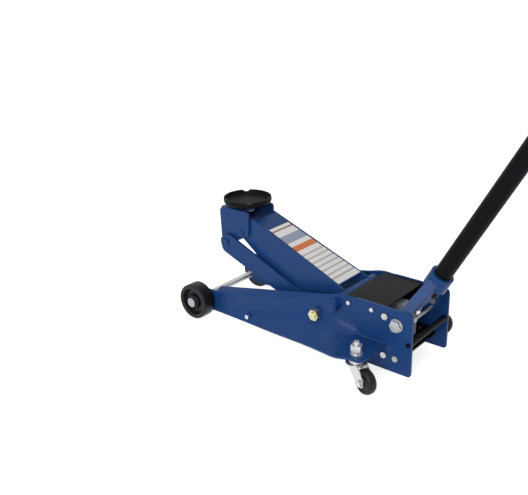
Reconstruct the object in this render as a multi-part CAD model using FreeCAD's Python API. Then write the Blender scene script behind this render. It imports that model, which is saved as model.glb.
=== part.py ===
import FreeCAD, Part
import math
import os

# A low-profile trolley jack in millimetres. +X runs to the saddle end, +Y to the left side, +Z up.
# All pieces are first placed with X = 0 at the rear edge of the side plates; the finished set is then
# shifted along X so that the origin lies on the floor below the middle of the whole box.

Vec = FreeCAD.Vector
Y_AXIS = Vec(0, 1, 0)
Z_AXIS = Vec(0, 0, 1)

# clearances
RUN = 0.05            # radial clearance of a shaft in a running bore
SEAT = 0.3            # gap between faces that pass or rest on each other
SIDE_GAP = 0.5        # side play of a moving piece between two faces

# frame
PLATE_T = 5.0         # side plate thickness
REAR_Y = 83.0         # outer face of a side plate at the rear
FRONT_Y = 102.0       # outer face of a side plate at the front
PLATE_Z0 = 17.0       # bottom edge of the side plates
PLATE_Z1 = 165.0      # top edge at the rear
WEB_X = 137.0         # front end of the flat rear web
NOSE_R = 28.0         # rounded front end of a side plate
NOSE_X = 548.0        # where the pressed panel meets the flat nose
BOSS_R = 14.0
BOSS_OUT = 23.0       # how far the arm pivot boss stands out of the plate
ROD_SEAT_R = 15.0     # raised seat of the radius rod's nut
ROD_SEAT_OUT = 7.0
LOW_SEAT_OUT = 4.0    # raised seat of the low front bolt

# front axle and wheels
AXLE_X = 596.0
AXLE_R = 9.0
WHEEL_R = 45.0
WHEEL_W = 35.0
WHEEL_GAP_T = 3.0     # washer between plate and wheel
CAP_T = 2.0
DISH_DEPTH = 14.0     # hollow in a front wheel's outer face

# lift linkage
ARM_PIVOT = (192.0, 137.0)
ROD_PIVOT = (236.0, 105.0)
ROD_TIP = (548.0, 193.0)
PIVOT_R = 11.0
PIN_R = 8.0
ARM_T = 5.0
ARM_REAR_Y = 50.0
ARM_FRONT_Y = 42.0
ARM_SLOPE = 0.39
ARM_TOP_Z = 155.0     # height of the arm's top face above the arm pivot
ARM_HUB_R = 17.0
CHEEK_T = 5.0
ROD_T = 6.0
LUG_R = 52.0          # distance of the push pin from the arm pivot
LUG_ANGLE = 5.0       # push pin's lead ahead of straight down, degrees
LUG_PIN_R = 7.0

# saddle
SADDLE_X = 523.0
SADDLE_Z = 304.0      # top of the saddle's teeth
SADDLE_R = 60.0
SADDLE_H = 20.0
DISH_T = 9.0          # thickness of the saddle's floor
NOTCHES = 4
BRACKET_TOP_Z = 281.0
POST_R = 14.0

# hydraulic unit
BLOCK_X0 = 60.0
BLOCK_X1 = 110.0
BLOCK_Y = 44.0
CRADLE_Z = 44.0
CRADLE_T = 4.0
BLOCK_TOP = 128.0
CYL_Z = 88.0
CYL_X1 = 147.0
CYL_R = 25.0
BORE_R = 19.0
RAM_R = 11.0
RAM_BACK = 24.7       # ram travel back from rest
PISTON_T = 12.0
HEAD_Y = 14.0
PLUNGER_Y = 24.0
PLUNGER_R = 6.0
STEM_R = 5.0
JOINT_R = 8.7         # ball of the joint between the handle's release shaft and the valve stem

# handle
HANDLE_PIVOT = (37.0, 131.0)
HANDLE_TILT = 61.1    # handle above level, degrees
SOCKET_T = 6.0
COLLAR_Z0 = 82.0      # collar along the handle axis, from the pivot
COLLAR_Z1 = 118.0
COLLAR_R = 26.0
TUBE_R = 19.5
TUBE_WALL = 2.5
HANDLE_Z0 = 64.0
HANDLE_SPLIT = 600.0
HANDLE_Z1 = 1080.0
OVERLAP = 60.0
GRIP_LENGTH = 130.0
GRIP_T = 3.0
ROLLER_ARM = 14.0
ROLLER_R = 8.0
ROLLER_PIN_R = 4.0
ROLLER_ANGLE = 10.0   # roller behind straight down, degrees

# casters
CASTER_X = 89.0
CASTER_Y = 156.0
CASTER_SWING = 18.0
SHELF_Z = 78.0        # top face of the caster shelf
SHELF_X0 = 61.0
SHELF_X1 = 106.0      # outer front corner
SHELF_APEX_X = 131.0  # inner front corner
SHELF_Y = 180.0
FLANGE_FOOT_Z = 69.5  # underside of the sheet at the shelf's outer front corner
CASTER_R = 28.0
CASTER_W = 22.0
CASTER_TRAIL = 32.0
STUD_R = 6.0
FORK_T = 3.0
CROWN_Z = 57.0
CROWN_R = 23.0

COVER_X0 = 67.0
COVER_X1 = 168.0
COVER_Z = 163.0
COVER_T = 3.0
TIE_X, TIE_Z, TIE_R = 8.0, 93.0, 7.0

# bolts through each side plate: x, z, shank radius
COVER_BOLTS = [(158.0, 150.0, 2.5), (99.0, 150.0, 2.5)]
CRADLE_BOLTS = [(66.0, 52.0, 3.5), (37.0, 52.0, 3.5)]
UNIT_BOLTS = [(66.0, 144.0, 4.0)]
LOW_BOLTS = [(429.0, 46.0, 3.0)]
FRAME_BOLTS = COVER_BOLTS + CRADLE_BOLTS + UNIT_BOLTS + LOW_BOLTS

# pressed front part of a side plate: outer (y, z) points of its section from top to bottom at each x
PANEL = [
    (WEB_X, [(81.0, PLATE_Z1), (REAR_Y, PLATE_Z1 - 2), (REAR_Y, 82.0), (174.5, 65.5)]),
    (165.0, [(82.0, PLATE_Z1), (84.5, PLATE_Z1 - 2), (86.0, 90.0), (169.5, 62.5)]),
    (218.0, [(REAR_Y, 153.0), (88.0, 151.0), (92.0, 100.0), (160.0, 57.0)]),
    (330.0, [(REAR_Y, 129.0), (97.0, 120.0), (104.0, 72.0), (141.0, 44.0)]),
    (NOSE_X, [(REAR_Y, 82.0), (FRONT_Y, 73.0), (FRONT_Y, 46.0), (FRONT_Y, 19.0)]),
]

WHEEL_Y0 = FRONT_Y + WHEEL_GAP_T + SIDE_GAP
WHEEL_Y1 = WHEEL_Y0 + WHEEL_W
INNER_Y = REAR_Y - PLATE_T
CHEEK_Y0 = ARM_FRONT_Y + 2.0
CHEEK_Y1 = CHEEK_Y0 + CHEEK_T
ROD_Y0 = ARM_REAR_Y + 2.5
ROD_Y1 = ROD_Y0 + ROD_T
ROLLER_X = HANDLE_PIVOT[0] - ROLLER_ARM * math.sin(math.radians(ROLLER_ANGLE))
ROLLER_Z = HANDLE_PIVOT[1] - ROLLER_ARM * math.cos(math.radians(ROLLER_ANGLE))
ARM_TIP = (ARM_PIVOT[0] + ROD_TIP[0] - ROD_PIVOT[0], ARM_PIVOT[1] + ROD_TIP[1] - ROD_PIVOT[1])

pieces = {}


# ---------------------------------------------------------------- outlines and simple solids

def corner_arc(before, corner, after, radius):
    """Two tangent points and a mid point that round one corner with a radius."""
    to_before = (before - corner).normalize()
    to_after = (after - corner).normalize()
    half = to_before.getAngle(to_after) / 2
    reach = radius / math.tan(half)
    bisector = (to_before + to_after).normalize()
    centre = corner + bisector * (radius / math.sin(half))
    return corner + to_before * reach, centre - bisector * radius, corner + to_after * reach


def rounded_wire(corners, radii):
    """Closed outline through 3-D corner points, each rounded by its own radius."""
    count = len(corners)
    spans = []
    for i in range(count):
        before, corner, after = corners[i - 1], corners[i], corners[(i + 1) % count]
        if radii[i] > 0:
            spans.append(corner_arc(before, corner, after, radii[i]))
        else:
            spans.append((corner,))
    edges = []
    for i in range(count):
        if len(spans[i]) == 3:
            edges.append(Part.Arc(*spans[i]).toShape())
        start, end = spans[i][-1], spans[(i + 1) % count][0]
        if start.distanceToPoint(end) > 1e-6:
            edges.append(Part.LineSegment(start, end).toShape())
    return Part.Wire(edges)


def side_sheet(outline, y_low, y_high):
    """Flat plate from (x, z, radius) corners, between two Y planes."""
    corners = [Vec(x, y_low, z) for x, z, radius in outline]
    face = Part.Face(rounded_wire(corners, [radius for x, z, radius in outline]))
    return face.extrude(Vec(0, y_high - y_low, 0))


def flat_sheet(outline, z_low, z_high):
    """Flat plate from (x, y, radius) corners, between two Z planes."""
    corners = [Vec(x, y, z_low) for x, y, radius in outline]
    face = Part.Face(rounded_wire(corners, [radius for x, y, radius in outline]))
    return face.extrude(Vec(0, 0, z_high - z_low))


def bar_y(centre, radius, y_low, y_high):
    """Round bar along Y through (x, z)."""
    return Part.makeCylinder(radius, y_high - y_low, Vec(centre[0], y_low, centre[1]), Y_AXIS)


def bar_z(x, y, radius, z_low, z_high):
    return Part.makeCylinder(radius, z_high - z_low, Vec(x, y, z_low), Z_AXIS)


def bar_x(y, z, radius, x_low, x_high):
    return Part.makeCylinder(radius, x_high - x_low, Vec(x_low, y, z), Vec(1, 0, 0))


def box(x_low, x_high, y_low, y_high, z_low, z_high):
    return Part.makeBox(x_high - x_low, y_high - y_low, z_high - z_low, Vec(x_low, y_low, z_low))


def hexagon(centre, direction, across_flats, height):
    """Hexagonal prism with rounded tips, standing on centre along direction."""
    tip = across_flats / math.sqrt(3)
    corners = [Vec(tip * math.cos(math.radians(60 * k)), tip * math.sin(math.radians(60 * k)), 0)
               for k in range(6)]
    prism = Part.Face(Part.makePolygon(corners + corners[:1])).extrude(Vec(0, 0, height))
    prism = prism.common(Part.makeCone(tip * 0.93, tip * 1.5, height))
    prism.Placement = FreeCAD.Placement(centre, FreeCAD.Rotation(Z_AXIS, direction))
    return prism


def mirrored(shape):
    return shape.mirror(Vec(0, 0, 0), Y_AXIS)


def joined(shapes):
    result = shapes[0].fuse(shapes[1:])
    return result.removeSplitter()


def both_sides(name, make):
    """A left piece and its mirror image as two nodes."""
    left = make()
    pieces[name + "_left"] = left
    pieces[name + "_right"] = mirrored(left)


def on_handle(shape):
    """Moves a shape built about +Z at the origin onto the leaning handle axis."""
    turn = FreeCAD.Rotation(Y_AXIS, HANDLE_TILT - 90)
    shape.Placement = FreeCAD.Placement(Vec(HANDLE_PIVOT[0], 0, HANDLE_PIVOT[1]), turn)
    return shape


# ---------------------------------------------------------------- frame

def offset_profile(points, thickness):
    """Inner line of a bent sheet's cross-section, with mitred corners."""
    normals = []
    for (y0, z0), (y1, z1) in zip(points, points[1:]):
        length = math.hypot(y1 - y0, z1 - z0)
        normals.append(((z1 - z0) / length, (y0 - y1) / length))
    first, last = [normals[0]], [normals[-1]]
    inner = []
    for (y, z), (ay, az), (by, bz) in zip(points, first + normals, normals + last):
        scale = thickness / (1 + ay * by + az * bz)
        inner.append((y + scale * (ay + by), z + scale * (az + bz)))
    return inner


def panel_section(x, outer):
    inner = offset_profile(outer, PLATE_T)
    corners = [Vec(x, y, z) for y, z in outer + inner[::-1]]
    return Part.makePolygon(corners + corners[:1])


def flange_patch():
    """Sheet between the rear end of the pressed panel's lower flange and the shelf's front edge."""
    corner, foot = PANEL[0][1][2], PANEL[0][1][3]
    low = PLATE_T + 0.5
    rear = [Vec(WEB_X + 0.5, corner[0] - 2, corner[1]), Vec(WEB_X + 0.5, foot[0], foot[1]),
            Vec(WEB_X + 0.5, foot[0], foot[1] - low), Vec(WEB_X + 0.5, corner[0] - 2, corner[1] - low)]
    edge = [Vec(SHELF_APEX_X, corner[0] - 2, SHELF_Z), Vec(SHELF_X1, SHELF_Y, SHELF_Z - 2),
            Vec(SHELF_X1, SHELF_Y, FLANGE_FOOT_Z), Vec(SHELF_APEX_X, corner[0] - 2, SHELF_Z - PLATE_T)]
    sections = [Part.makePolygon(points + points[:1]) for points in (rear, edge)]
    return Part.makeLoft(sections, True, True)


def caster_shelf():
    """Horizontal shelf with the hole of the caster stud."""
    outline = [(SHELF_X0, INNER_Y + 1, 0), (SHELF_X0, SHELF_Y, 16), (SHELF_X1 + 0.5, SHELF_Y, 0),
               (SHELF_APEX_X + 0.5, INNER_Y + 1, 0)]
    shelf = flat_sheet(outline, SHELF_Z - PLATE_T, SHELF_Z)
    return shelf.cut(bar_z(CASTER_X, CASTER_Y, STUD_R + RUN, 0, 120))


def side_plate():
    """Flat rear web, flared front panel, caster shelf and flat nose of one pressed sheet."""
    rear = [(0, PLATE_Z0, 8), (0, PLATE_Z1, 14), (WEB_X + 0.5, PLATE_Z1, 0), (WEB_X + 0.5, PLATE_Z0, 8)]
    nose_low, nose_top = WHEEL_R - NOSE_R, WHEEL_R + NOSE_R
    nose = [(NOSE_X, nose_low + 2, 0), (AXLE_X + NOSE_R, nose_low, NOSE_R - 0.5),
            (AXLE_X + NOSE_R, nose_top, NOSE_R - 0.5), (NOSE_X, nose_top, 0)]
    panel = Part.makeLoft([panel_section(x, outer) for x, outer in PANEL], True, True)
    plate = joined([side_sheet(rear, INNER_Y, REAR_Y), panel, flange_patch(), caster_shelf(),
                    side_sheet(nose, FRONT_Y - PLATE_T, FRONT_Y),
                    bar_y(ARM_PIVOT, BOSS_R, INNER_Y, REAR_Y + BOSS_OUT),
                    bar_y(ROD_PIVOT, ROD_SEAT_R, INNER_Y + 5, plate_face_y(*ROD_PIVOT) + ROD_SEAT_OUT)]
                   + [bar_y((x, z), 8, plate_face_y(x, z) - 4, plate_face_y(x, z) + LOW_SEAT_OUT)
                      for x, z, radius in LOW_BOLTS])
    bores = [bar_y(ARM_PIVOT, PIVOT_R + RUN, 0, 140),
             bar_y((AXLE_X, WHEEL_R), AXLE_R + RUN, 0, 140),
             bar_y(ROD_PIVOT, PIN_R + RUN, 0, 140),
             bar_y(HANDLE_PIVOT, PIN_R + RUN, 0, 140),
             bar_y((TIE_X, TIE_Z), TIE_R - 2 + RUN, 0, 140)]
    for x, z, radius in FRAME_BOLTS:
        bores.append(bar_y((x, z), radius + RUN, 0, 140))
    return plate.cut(bores)


def plate_face_y(x, z):
    """Outer face of the left side plate at a point of its side view."""
    if x <= WEB_X:
        return REAR_Y
    for (x0, outer0), (x1, outer1) in zip(PANEL, PANEL[1:]):
        if x <= x1:
            break
    share = (x - x0) / (x1 - x0)
    points = [(a + (c - a) * share, b + (d - b) * share) for (a, b), (c, d) in zip(outer0, outer1)]
    for (y0, z0), (y1, z1) in zip(points, points[1:]):
        if z >= z1:
            break
    return y0 + (y1 - y0) * (z - z0) / (z1 - z0)


def frame_fasteners():
    """Bolt sets through both side plates, head outside and nut inside."""
    for name, rows, head, reach, seat in (("cover_screws", COVER_BOLTS, 9, 4, 0),
                                          ("cradle_bolts", CRADLE_BOLTS, 13, 6, 0),
                                          ("unit_bolts", UNIT_BOLTS, 14, 6, 0),
                                          ("low_bolts", LOW_BOLTS, 10, 6, LOW_SEAT_OUT)):
        solids = []
        for x, z, radius in rows:
            face = plate_face_y(x, z) + seat
            shank = bar_y((x, z), radius, face - PLATE_T - COVER_T - SEAT - reach, face + 2)
            cap = hexagon(Vec(x, face + 0.2, z), Y_AXIS, head, 4.5)
            bolt = shank.fuse(cap)
            solids += [bolt, mirrored(bolt)]
        pieces[name] = Part.makeCompound(solids)


def make_frame():
    both_sides("side_plate", side_plate)
    pieces["rear_tie_bar"] = bar_y((TIE_X, TIE_Z), TIE_R, -INNER_Y, INNER_Y).fuse(
        bar_y((TIE_X, TIE_Z), TIE_R - 2, -REAR_Y - 3, REAR_Y + 3))
    end = REAR_Y + BOSS_OUT + 1.5
    pieces["arm_pivot_shaft"] = bar_y(ARM_PIVOT, PIVOT_R, -end, end)
    top = [(COVER_X0, -INNER_Y + SEAT, 4), (COVER_X0, INNER_Y - SEAT, 4),
           (COVER_X1, INNER_Y - SEAT, 4), (COVER_X1, -INNER_Y + SEAT, 4)]
    cover = flat_sheet(top, COVER_Z - COVER_T, COVER_Z)
    flange = box(COVER_X0 + 5, COVER_X1 - 2, INNER_Y - SEAT - COVER_T, INNER_Y - SEAT, 141, COVER_Z - 1)
    holes = [bar_y((x, z), radius + RUN, -100, 100) for x, z, radius in COVER_BOLTS]
    pieces["cover_plate"] = joined([cover, flange, mirrored(flange)]).cut(holes)
    frame_fasteners()


# ---------------------------------------------------------------- front axle and wheels

def front_wheel():
    """Solid wheel with a dished outer face and a hub, turned about the axle."""
    y0, y1 = WHEEL_Y0, WHEEL_Y1
    profile = [(AXLE_R + RUN, y0), (WHEEL_R - 3, y0), (WHEEL_R, y0 + 3), (WHEEL_R, y1 - 3),
               (WHEEL_R - 3, y1), (WHEEL_R - 9, y1), (WHEEL_R - 14, y1 - DISH_DEPTH),
               (AXLE_R + 9, y1 - DISH_DEPTH), (AXLE_R + 6, y1 - 4), (AXLE_R + RUN, y1 - 4)]
    corners = [Vec(radius, y, 0) for radius, y in profile]
    face = Part.Face(Part.makePolygon(corners + corners[:1]))
    wheel = face.revolve(Vec(0, 0, 0), Y_AXIS, 360)
    wheel.translate(Vec(AXLE_X, 0, WHEEL_R))
    return wheel


def make_front():
    centre = (AXLE_X, WHEEL_R)
    end = WHEEL_Y1 + CAP_T
    pieces["front_axle"] = bar_y(centre, AXLE_R, -end, end)
    both_sides("front_wheel", front_wheel)
    washer = bar_y(centre, 15, FRONT_Y, FRONT_Y + WHEEL_GAP_T).cut(bar_y(centre, AXLE_R + RUN, 0, 200))
    pieces["axle_washers"] = Part.makeCompound([washer, mirrored(washer)])
    cap = bar_y(centre, AXLE_R + 3, WHEEL_Y1 - 3.7, WHEEL_Y1 + CAP_T + 2).cut(
        bar_y(centre, AXLE_R + RUN, 0, WHEEL_Y1 + CAP_T))
    pieces["hub_caps"] = Part.makeCompound([cap, mirrored(cap)])


# ---------------------------------------------------------------- lift linkage

def arm_side():
    """Left side of the lift arm: deep at the hydraulic end, narrow at the saddle end."""
    top = ARM_TOP_Z
    hub_x, hub_z = ARM_PIVOT
    outline = [(hub_x - 20, hub_z - 4, 8), (hub_x - 14, top - 5, 8), (hub_x, top, 20),
               (474, top + ARM_SLOPE * (474 - hub_x), 4), (ARM_TIP[0] + 24, ARM_TIP[1] + 16, 20),
               (ARM_TIP[0] + 22, ARM_TIP[1] - 15, 14), (ARM_TIP[0] + 4, ARM_TIP[1] - 14, 12),
               (448, 168, 30), (330, 112, 40), (hub_x + 24, 67, 16), (hub_x - 14, 68, 14)]
    side = side_sheet(outline, ARM_REAR_Y - ARM_T, ARM_REAR_Y)
    taper = math.degrees(math.atan2(ARM_REAR_Y - ARM_FRONT_Y, ARM_TIP[0] - hub_x))
    side.rotate(Vec(hub_x, ARM_REAR_Y, 0), Z_AXIS, -taper)
    return side


def arm_top():
    """Sloping top plate between the arm's two sides."""
    x0, x1 = ARM_PIVOT[0] + 20, 466
    z0 = ARM_TOP_Z + ARM_SLOPE * (x0 - ARM_PIVOT[0])
    z1 = ARM_TOP_Z + ARM_SLOPE * (x1 - ARM_PIVOT[0])
    y0, y1 = ARM_REAR_Y - 1, ARM_FRONT_Y + 0.2
    corners = [Vec(x0, -y0, z0), Vec(x0, y0, z0), Vec(x1, y1, z1), Vec(x1, -y1, z1)]
    face = Part.Face(Part.makePolygon(corners + corners[:1]))
    return face.extrude(Vec(0, 0, -ARM_T))


def push_pin_centre():
    angle = math.radians(LUG_ANGLE)
    return (ARM_PIVOT[0] + LUG_R * math.sin(angle), ARM_PIVOT[1] - LUG_R * math.cos(angle))


def lift_arm():
    side = arm_side()
    hub = bar_y(ARM_PIVOT, ARM_HUB_R, -INNER_Y + SIDE_GAP, INNER_Y - SIDE_GAP)
    arm = joined([side, mirrored(side), arm_top(), hub])
    return arm.cut([bar_y(ARM_PIVOT, PIVOT_R + RUN, -200, 200),
                    bar_y(ARM_TIP, PIN_R + RUN, -200, 200),
                    bar_y(push_pin_centre(), LUG_PIN_R + RUN, -200, 200)])


def label_plate():
    """Thin plain plate on the arm's top, narrower than the arm."""
    x0, x1 = 214, 424
    z0 = ARM_TOP_Z + ARM_SLOPE * (x0 - ARM_PIVOT[0])
    z1 = ARM_TOP_Z + ARM_SLOPE * (x1 - ARM_PIVOT[0])
    corners = [Vec(x0, -44, z0), Vec(x0, 44, z0), Vec(x1, 36, z1), Vec(x1, -36, z1)]
    return Part.Face(Part.makePolygon(corners + corners[:1])).extrude(Vec(0, 0, 0.4))


def saddle_bracket():
    """Two cheeks with a top plate and a front web, kept level by the radius rods."""
    outline = [(479, BRACKET_TOP_Z, 9), (574, BRACKET_TOP_Z, 12), (570, ROD_TIP[1] + 4, 14),
               (ROD_TIP[0] + 16, ROD_TIP[1] - 20, 18), (ROD_TIP[0] - 18, ROD_TIP[1] - 20, 16),
               (ARM_TIP[0] + 11, ARM_TIP[1] - 17, 12), (ARM_TIP[0] - 24, ARM_TIP[1] - 6, 10)]
    cheek = side_sheet(outline, CHEEK_Y0, CHEEK_Y1)
    top = box(500, 571, -CHEEK_Y0 - 1, CHEEK_Y0 + 1, BRACKET_TOP_Z - 6, BRACKET_TOP_Z)
    web = box(565, 570, -CHEEK_Y0 - 1, CHEEK_Y0 + 1, ROD_TIP[1] + 25, BRACKET_TOP_Z - 1)
    bracket = joined([cheek, mirrored(cheek), top, web])
    return bracket.cut([bar_y(ARM_TIP, PIN_R + RUN, -100, 100), bar_y(ROD_TIP, PIN_R + RUN, -100, 100),
                        bar_z(SADDLE_X, 0, POST_R + RUN, 200, 300)])


def saddle():
    """Round cup with notched rim, ribbed dish and swivel post."""
    z1 = SADDLE_Z
    z0 = z1 - SADDLE_H
    profile = [(0, z0), (SADDLE_R - 14, z0), (SADDLE_R - 3, z0 + 6), (SADDLE_R, z0 + 9), (SADDLE_R, z1),
               (SADDLE_R - 6, z1), (SADDLE_R - 8, z0 + DISH_T), (0, z0 + DISH_T)]
    corners = [Vec(radius, 0, z) for radius, z in profile]
    cup = Part.Face(Part.makePolygon(corners + corners[:1])).revolve(Vec(0, 0, 0), Z_AXIS, 360)
    notches = []
    for k in range(NOTCHES):
        notch = box(SADDLE_R - 12, SADDLE_R + 2, -6, 6, z1 - 5, z1 + 1)
        notch.rotate(Vec(0, 0, 0), Z_AXIS, 360 / NOTCHES * (k + 0.5))
        notches.append(notch)
    cup = cup.cut(notches).fuse(bar_z(0, 0, POST_R, BRACKET_TOP_Z - 18, z0 + 1))
    cup = cup.cut(bar_z(0, 0, POST_R + 1, BRACKET_TOP_Z - 12, BRACKET_TOP_Z - 9).cut(
        bar_z(0, 0, POST_R - 2, BRACKET_TOP_Z - 12, BRACKET_TOP_Z - 9)))
    cup.translate(Vec(SADDLE_X, 0, 0))
    return cup


def radius_rod():
    """Flat bar outside the arm, bent near its frame end."""
    fx, fz = ROD_PIVOT
    tx, tz = ROD_TIP
    outline = [(fx - 20, fz - 19, 18), (330, 84, 60), (tx + 12, tz - 24, 20), (tx + 22, tz + 12, 20),
               (tx - 8, tz + 24, 20), (330, 129, 60), (fx - 20, fz + 20, 18)]
    rod = side_sheet(outline, ROD_Y0, ROD_Y1)
    return rod.cut([bar_y(ROD_PIVOT, PIN_R + RUN, 0, 100), bar_y(ROD_TIP, PIN_R + RUN, 0, 100)])


def rod_pivot_bolt():
    """Bolt through the side plate that carries a radius rod, with its spacer collar inside."""
    face = plate_face_y(*ROD_PIVOT)
    shank = bar_y(ROD_PIVOT, PIN_R, ROD_Y0 - 1.5, face + ROD_SEAT_OUT + 16)
    collar = bar_y(ROD_PIVOT, PIN_R + 6, ROD_Y1 + SEAT, INNER_Y - SEAT)
    retainer = bar_y(ROD_PIVOT, PIN_R + 2, ROD_Y0 - 1.5, ROD_Y0 - SEAT)
    return joined([shank, collar, retainer])


def linkage_pins():
    """Pins that join the arm and rods to the saddle bracket."""
    arm_end = ROD_Y0 - 1
    pieces["arm_tip_pin"] = bar_y(ARM_TIP, PIN_R, -arm_end, arm_end)
    rod_end = ROD_Y1 + 4
    pin = bar_y(ROD_TIP, PIN_R, -rod_end, rod_end)
    collar = bar_y(ROD_TIP, PIN_R + 5, CHEEK_Y1 + SEAT, ROD_Y0 - SEAT)
    clip = bar_y(ROD_TIP, PIN_R + 3, ROD_Y1 + SEAT, ROD_Y1 + 2.5)
    pieces["bracket_pin"] = joined([pin, collar, mirrored(collar), clip, mirrored(clip)])


def make_linkage():
    pieces["lift_arm"] = lift_arm()
    pieces["arm_label"] = label_plate()
    pieces["saddle_bracket"] = saddle_bracket()
    pieces["saddle"] = saddle()
    clip_z = BRACKET_TOP_Z - 12
    clip = bar_z(SADDLE_X, 0, POST_R + 4, clip_z + 0.2, clip_z + 2.8)
    pieces["saddle_circlip"] = clip.cut(bar_z(SADDLE_X, 0, POST_R - 2, 0, 400))
    both_sides("radius_rod", radius_rod)
    linkage_pins()
    end = ARM_REAR_Y - 1
    pin = push_pin_centre()
    pieces["push_pin"] = bar_y(pin, LUG_PIN_R, -end, end)
    both_sides("rod_pivot_bolt", rod_pivot_bolt)
    seat = plate_face_y(*ROD_PIVOT) + ROD_SEAT_OUT
    nut = hexagon(Vec(ROD_PIVOT[0], seat + 0.2, ROD_PIVOT[1]), Y_AXIS, 24, 12)
    nut = nut.cut(bar_y(ROD_PIVOT, PIN_R, 0, 200))
    pieces["rod_pivot_nuts"] = Part.makeCompound([nut, mirrored(nut)])


# ---------------------------------------------------------------- hydraulic unit

def pump_block():
    floor = CRADLE_Z + CRADLE_T
    block = side_sheet([(BLOCK_X0, floor, 5), (BLOCK_X0, BLOCK_TOP, 8), (BLOCK_X1, BLOCK_TOP, 8),
                        (BLOCK_X1, floor, 5)], -BLOCK_Y, BLOCK_Y)
    boss = side_sheet([(BLOCK_X0, BLOCK_TOP - 6, 0), (BLOCK_X0, HANDLE_PIVOT[1] + 14, 5),
                       (BLOCK_X0 + 36, HANDLE_PIVOT[1] + 14, 5), (BLOCK_X0 + 36, BLOCK_TOP - 6, 0)], -13, 13)
    block = block.fuse(boss).removeSplitter()
    bore = bar_x(0, CYL_Z, BORE_R, BLOCK_X0 + 8, BLOCK_X1 + 1)
    pump_bore = bar_x(PLUNGER_Y, ROLLER_Z, PLUNGER_R + RUN, BLOCK_X0 - 1, BLOCK_X1 - 6)
    plug = bar_z(BLOCK_X0 + 25, -28, 7, BLOCK_TOP - 10, BLOCK_TOP + 1)
    valve_bore = bar_x(0, HANDLE_PIVOT[1], STEM_R + RUN, BLOCK_X0 - 1, BLOCK_X0 + 26)
    return block.cut([bore, pump_bore, plug, valve_bore])


def ram():
    """Piston, rod and slotted head in one turned and milled piece."""
    pin_x, pin_z = push_pin_centre()
    piston_x = BLOCK_X0 + 10 + RAM_BACK
    piston = bar_x(0, CYL_Z, BORE_R - RUN, piston_x, piston_x + PISTON_T)
    rod = bar_x(0, CYL_Z, RAM_R, piston_x, pin_x - 14)
    head = side_sheet([(pin_x - 16, 69, 5), (pin_x - 16, 118, 5), (pin_x + 16, 118, 5), (pin_x + 16, 69, 5)],
                      -HEAD_Y, HEAD_Y)
    window = side_sheet([(pin_x - 10, pin_z - 8.5, 7), (pin_x - 10, pin_z + 27.5, 7),
                         (pin_x + 9.5, pin_z + 27.5, 7), (pin_x + 9.5, pin_z - 8.5, 7)], -50, 50)
    return joined([piston, rod, head.cut(window)])


def hydraulic_unit():
    cradle = box(30, 118, -INNER_Y + 0.2, INNER_Y - 0.2, CRADLE_Z, CRADLE_Z + CRADLE_T)
    ear = box(30, 76, INNER_Y - 4.2, INNER_Y - 0.2, CRADLE_Z, 62)
    holes = [bar_y((x, z), radius + RUN, -100, 100) for x, z, radius in CRADLE_BOLTS]
    pieces["unit_cradle"] = joined([cradle, ear, mirrored(ear)]).cut(holes)
    pieces["pump_block"] = pump_block()
    tube = bar_x(0, CYL_Z, CYL_R, BLOCK_X1, CYL_X1).cut(bar_x(0, CYL_Z, BORE_R, BLOCK_X1 - 1, CYL_X1 + 1))
    pieces["cylinder_tube"] = tube
    gland = bar_x(0, CYL_Z, CYL_R - 2, CYL_X1, CYL_X1 + 7)
    pieces["gland_nut"] = gland.cut(bar_x(0, CYL_Z, RAM_R + RUN, CYL_X1 - 1, CYL_X1 + 8))
    plug = bar_z(BLOCK_X0 + 25, -28, 7, BLOCK_TOP - 10, BLOCK_TOP + 1)
    pieces["filler_plug"] = plug.fuse(hexagon(Vec(BLOCK_X0 + 25, -28, BLOCK_TOP + 1), Z_AXIS, 17, 6))
    pieces["ram"] = ram()
    level = HANDLE_PIVOT[1]
    stem = bar_x(0, level, STEM_R, HANDLE_PIVOT[0] + JOINT_R + SEAT, BLOCK_X0 + 24)
    flat = box(HANDLE_PIVOT[0] + JOINT_R, BLOCK_X0 - 8, STEM_R - 1.5, STEM_R + 1, level - 6, level + 6)
    pieces["release_valve_stem"] = stem.cut(flat)
    gland = bar_x(0, level, 11, BLOCK_X0 - 6, BLOCK_X0)
    pieces["release_valve_gland"] = gland.cut(bar_x(0, level, STEM_R + RUN, 0, 100))


def plunger():
    """Pump plunger with its head, pressed by the roller on the handle socket."""
    face = ROLLER_X + ROLLER_R + 0.8
    head = bar_x(PLUNGER_Y, ROLLER_Z, 10, face, face + 4)
    stem = bar_x(PLUNGER_Y, ROLLER_Z, PLUNGER_R, face + 2, BLOCK_X1 - 6 - 14)
    return joined([head, stem])




# ---------------------------------------------------------------- handle

def bar_section(y0, y1, height):
    """Cross-section of a socket leg at a height above the handle pivot."""
    corners = [Vec(-9, y0, height), Vec(14, y0, height), Vec(14, y1, height), Vec(-9, y1, height)]
    return Part.makePolygon(corners + corners[:1])


def socket_bar():
    """Left leg of the socket: a cheek at the pivot and a bar that leans in to the collar."""
    y1 = INNER_Y - 1.5
    y0 = y1 - SOCKET_T
    cheek = side_sheet([(-16, -18, 14), (-16, 30, 2), (16, 30, 2), (16, -18, 14)], y0, y1)
    low = bar_section(y0, y1, 26)
    high = bar_section(COLLAR_R - 1 - SOCKET_T, COLLAR_R - 1, COLLAR_Z1 - 14)
    bar = Part.makeLoft([low, high], True, True)
    return [cheek, bar]


def socket_web():
    """Tapered plate that closes the rear of the socket between its legs."""
    low, high = 40, COLLAR_Z1 - 16
    low_y, high_y = 62, COLLAR_R - 3
    corners = [Vec(-11, -low_y, low), Vec(-11, low_y, low), Vec(-11, high_y, high), Vec(-11, -high_y, high)]
    return Part.Face(Part.makePolygon(corners + corners[:1])).extrude(Vec(4, 0, 0))


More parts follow.
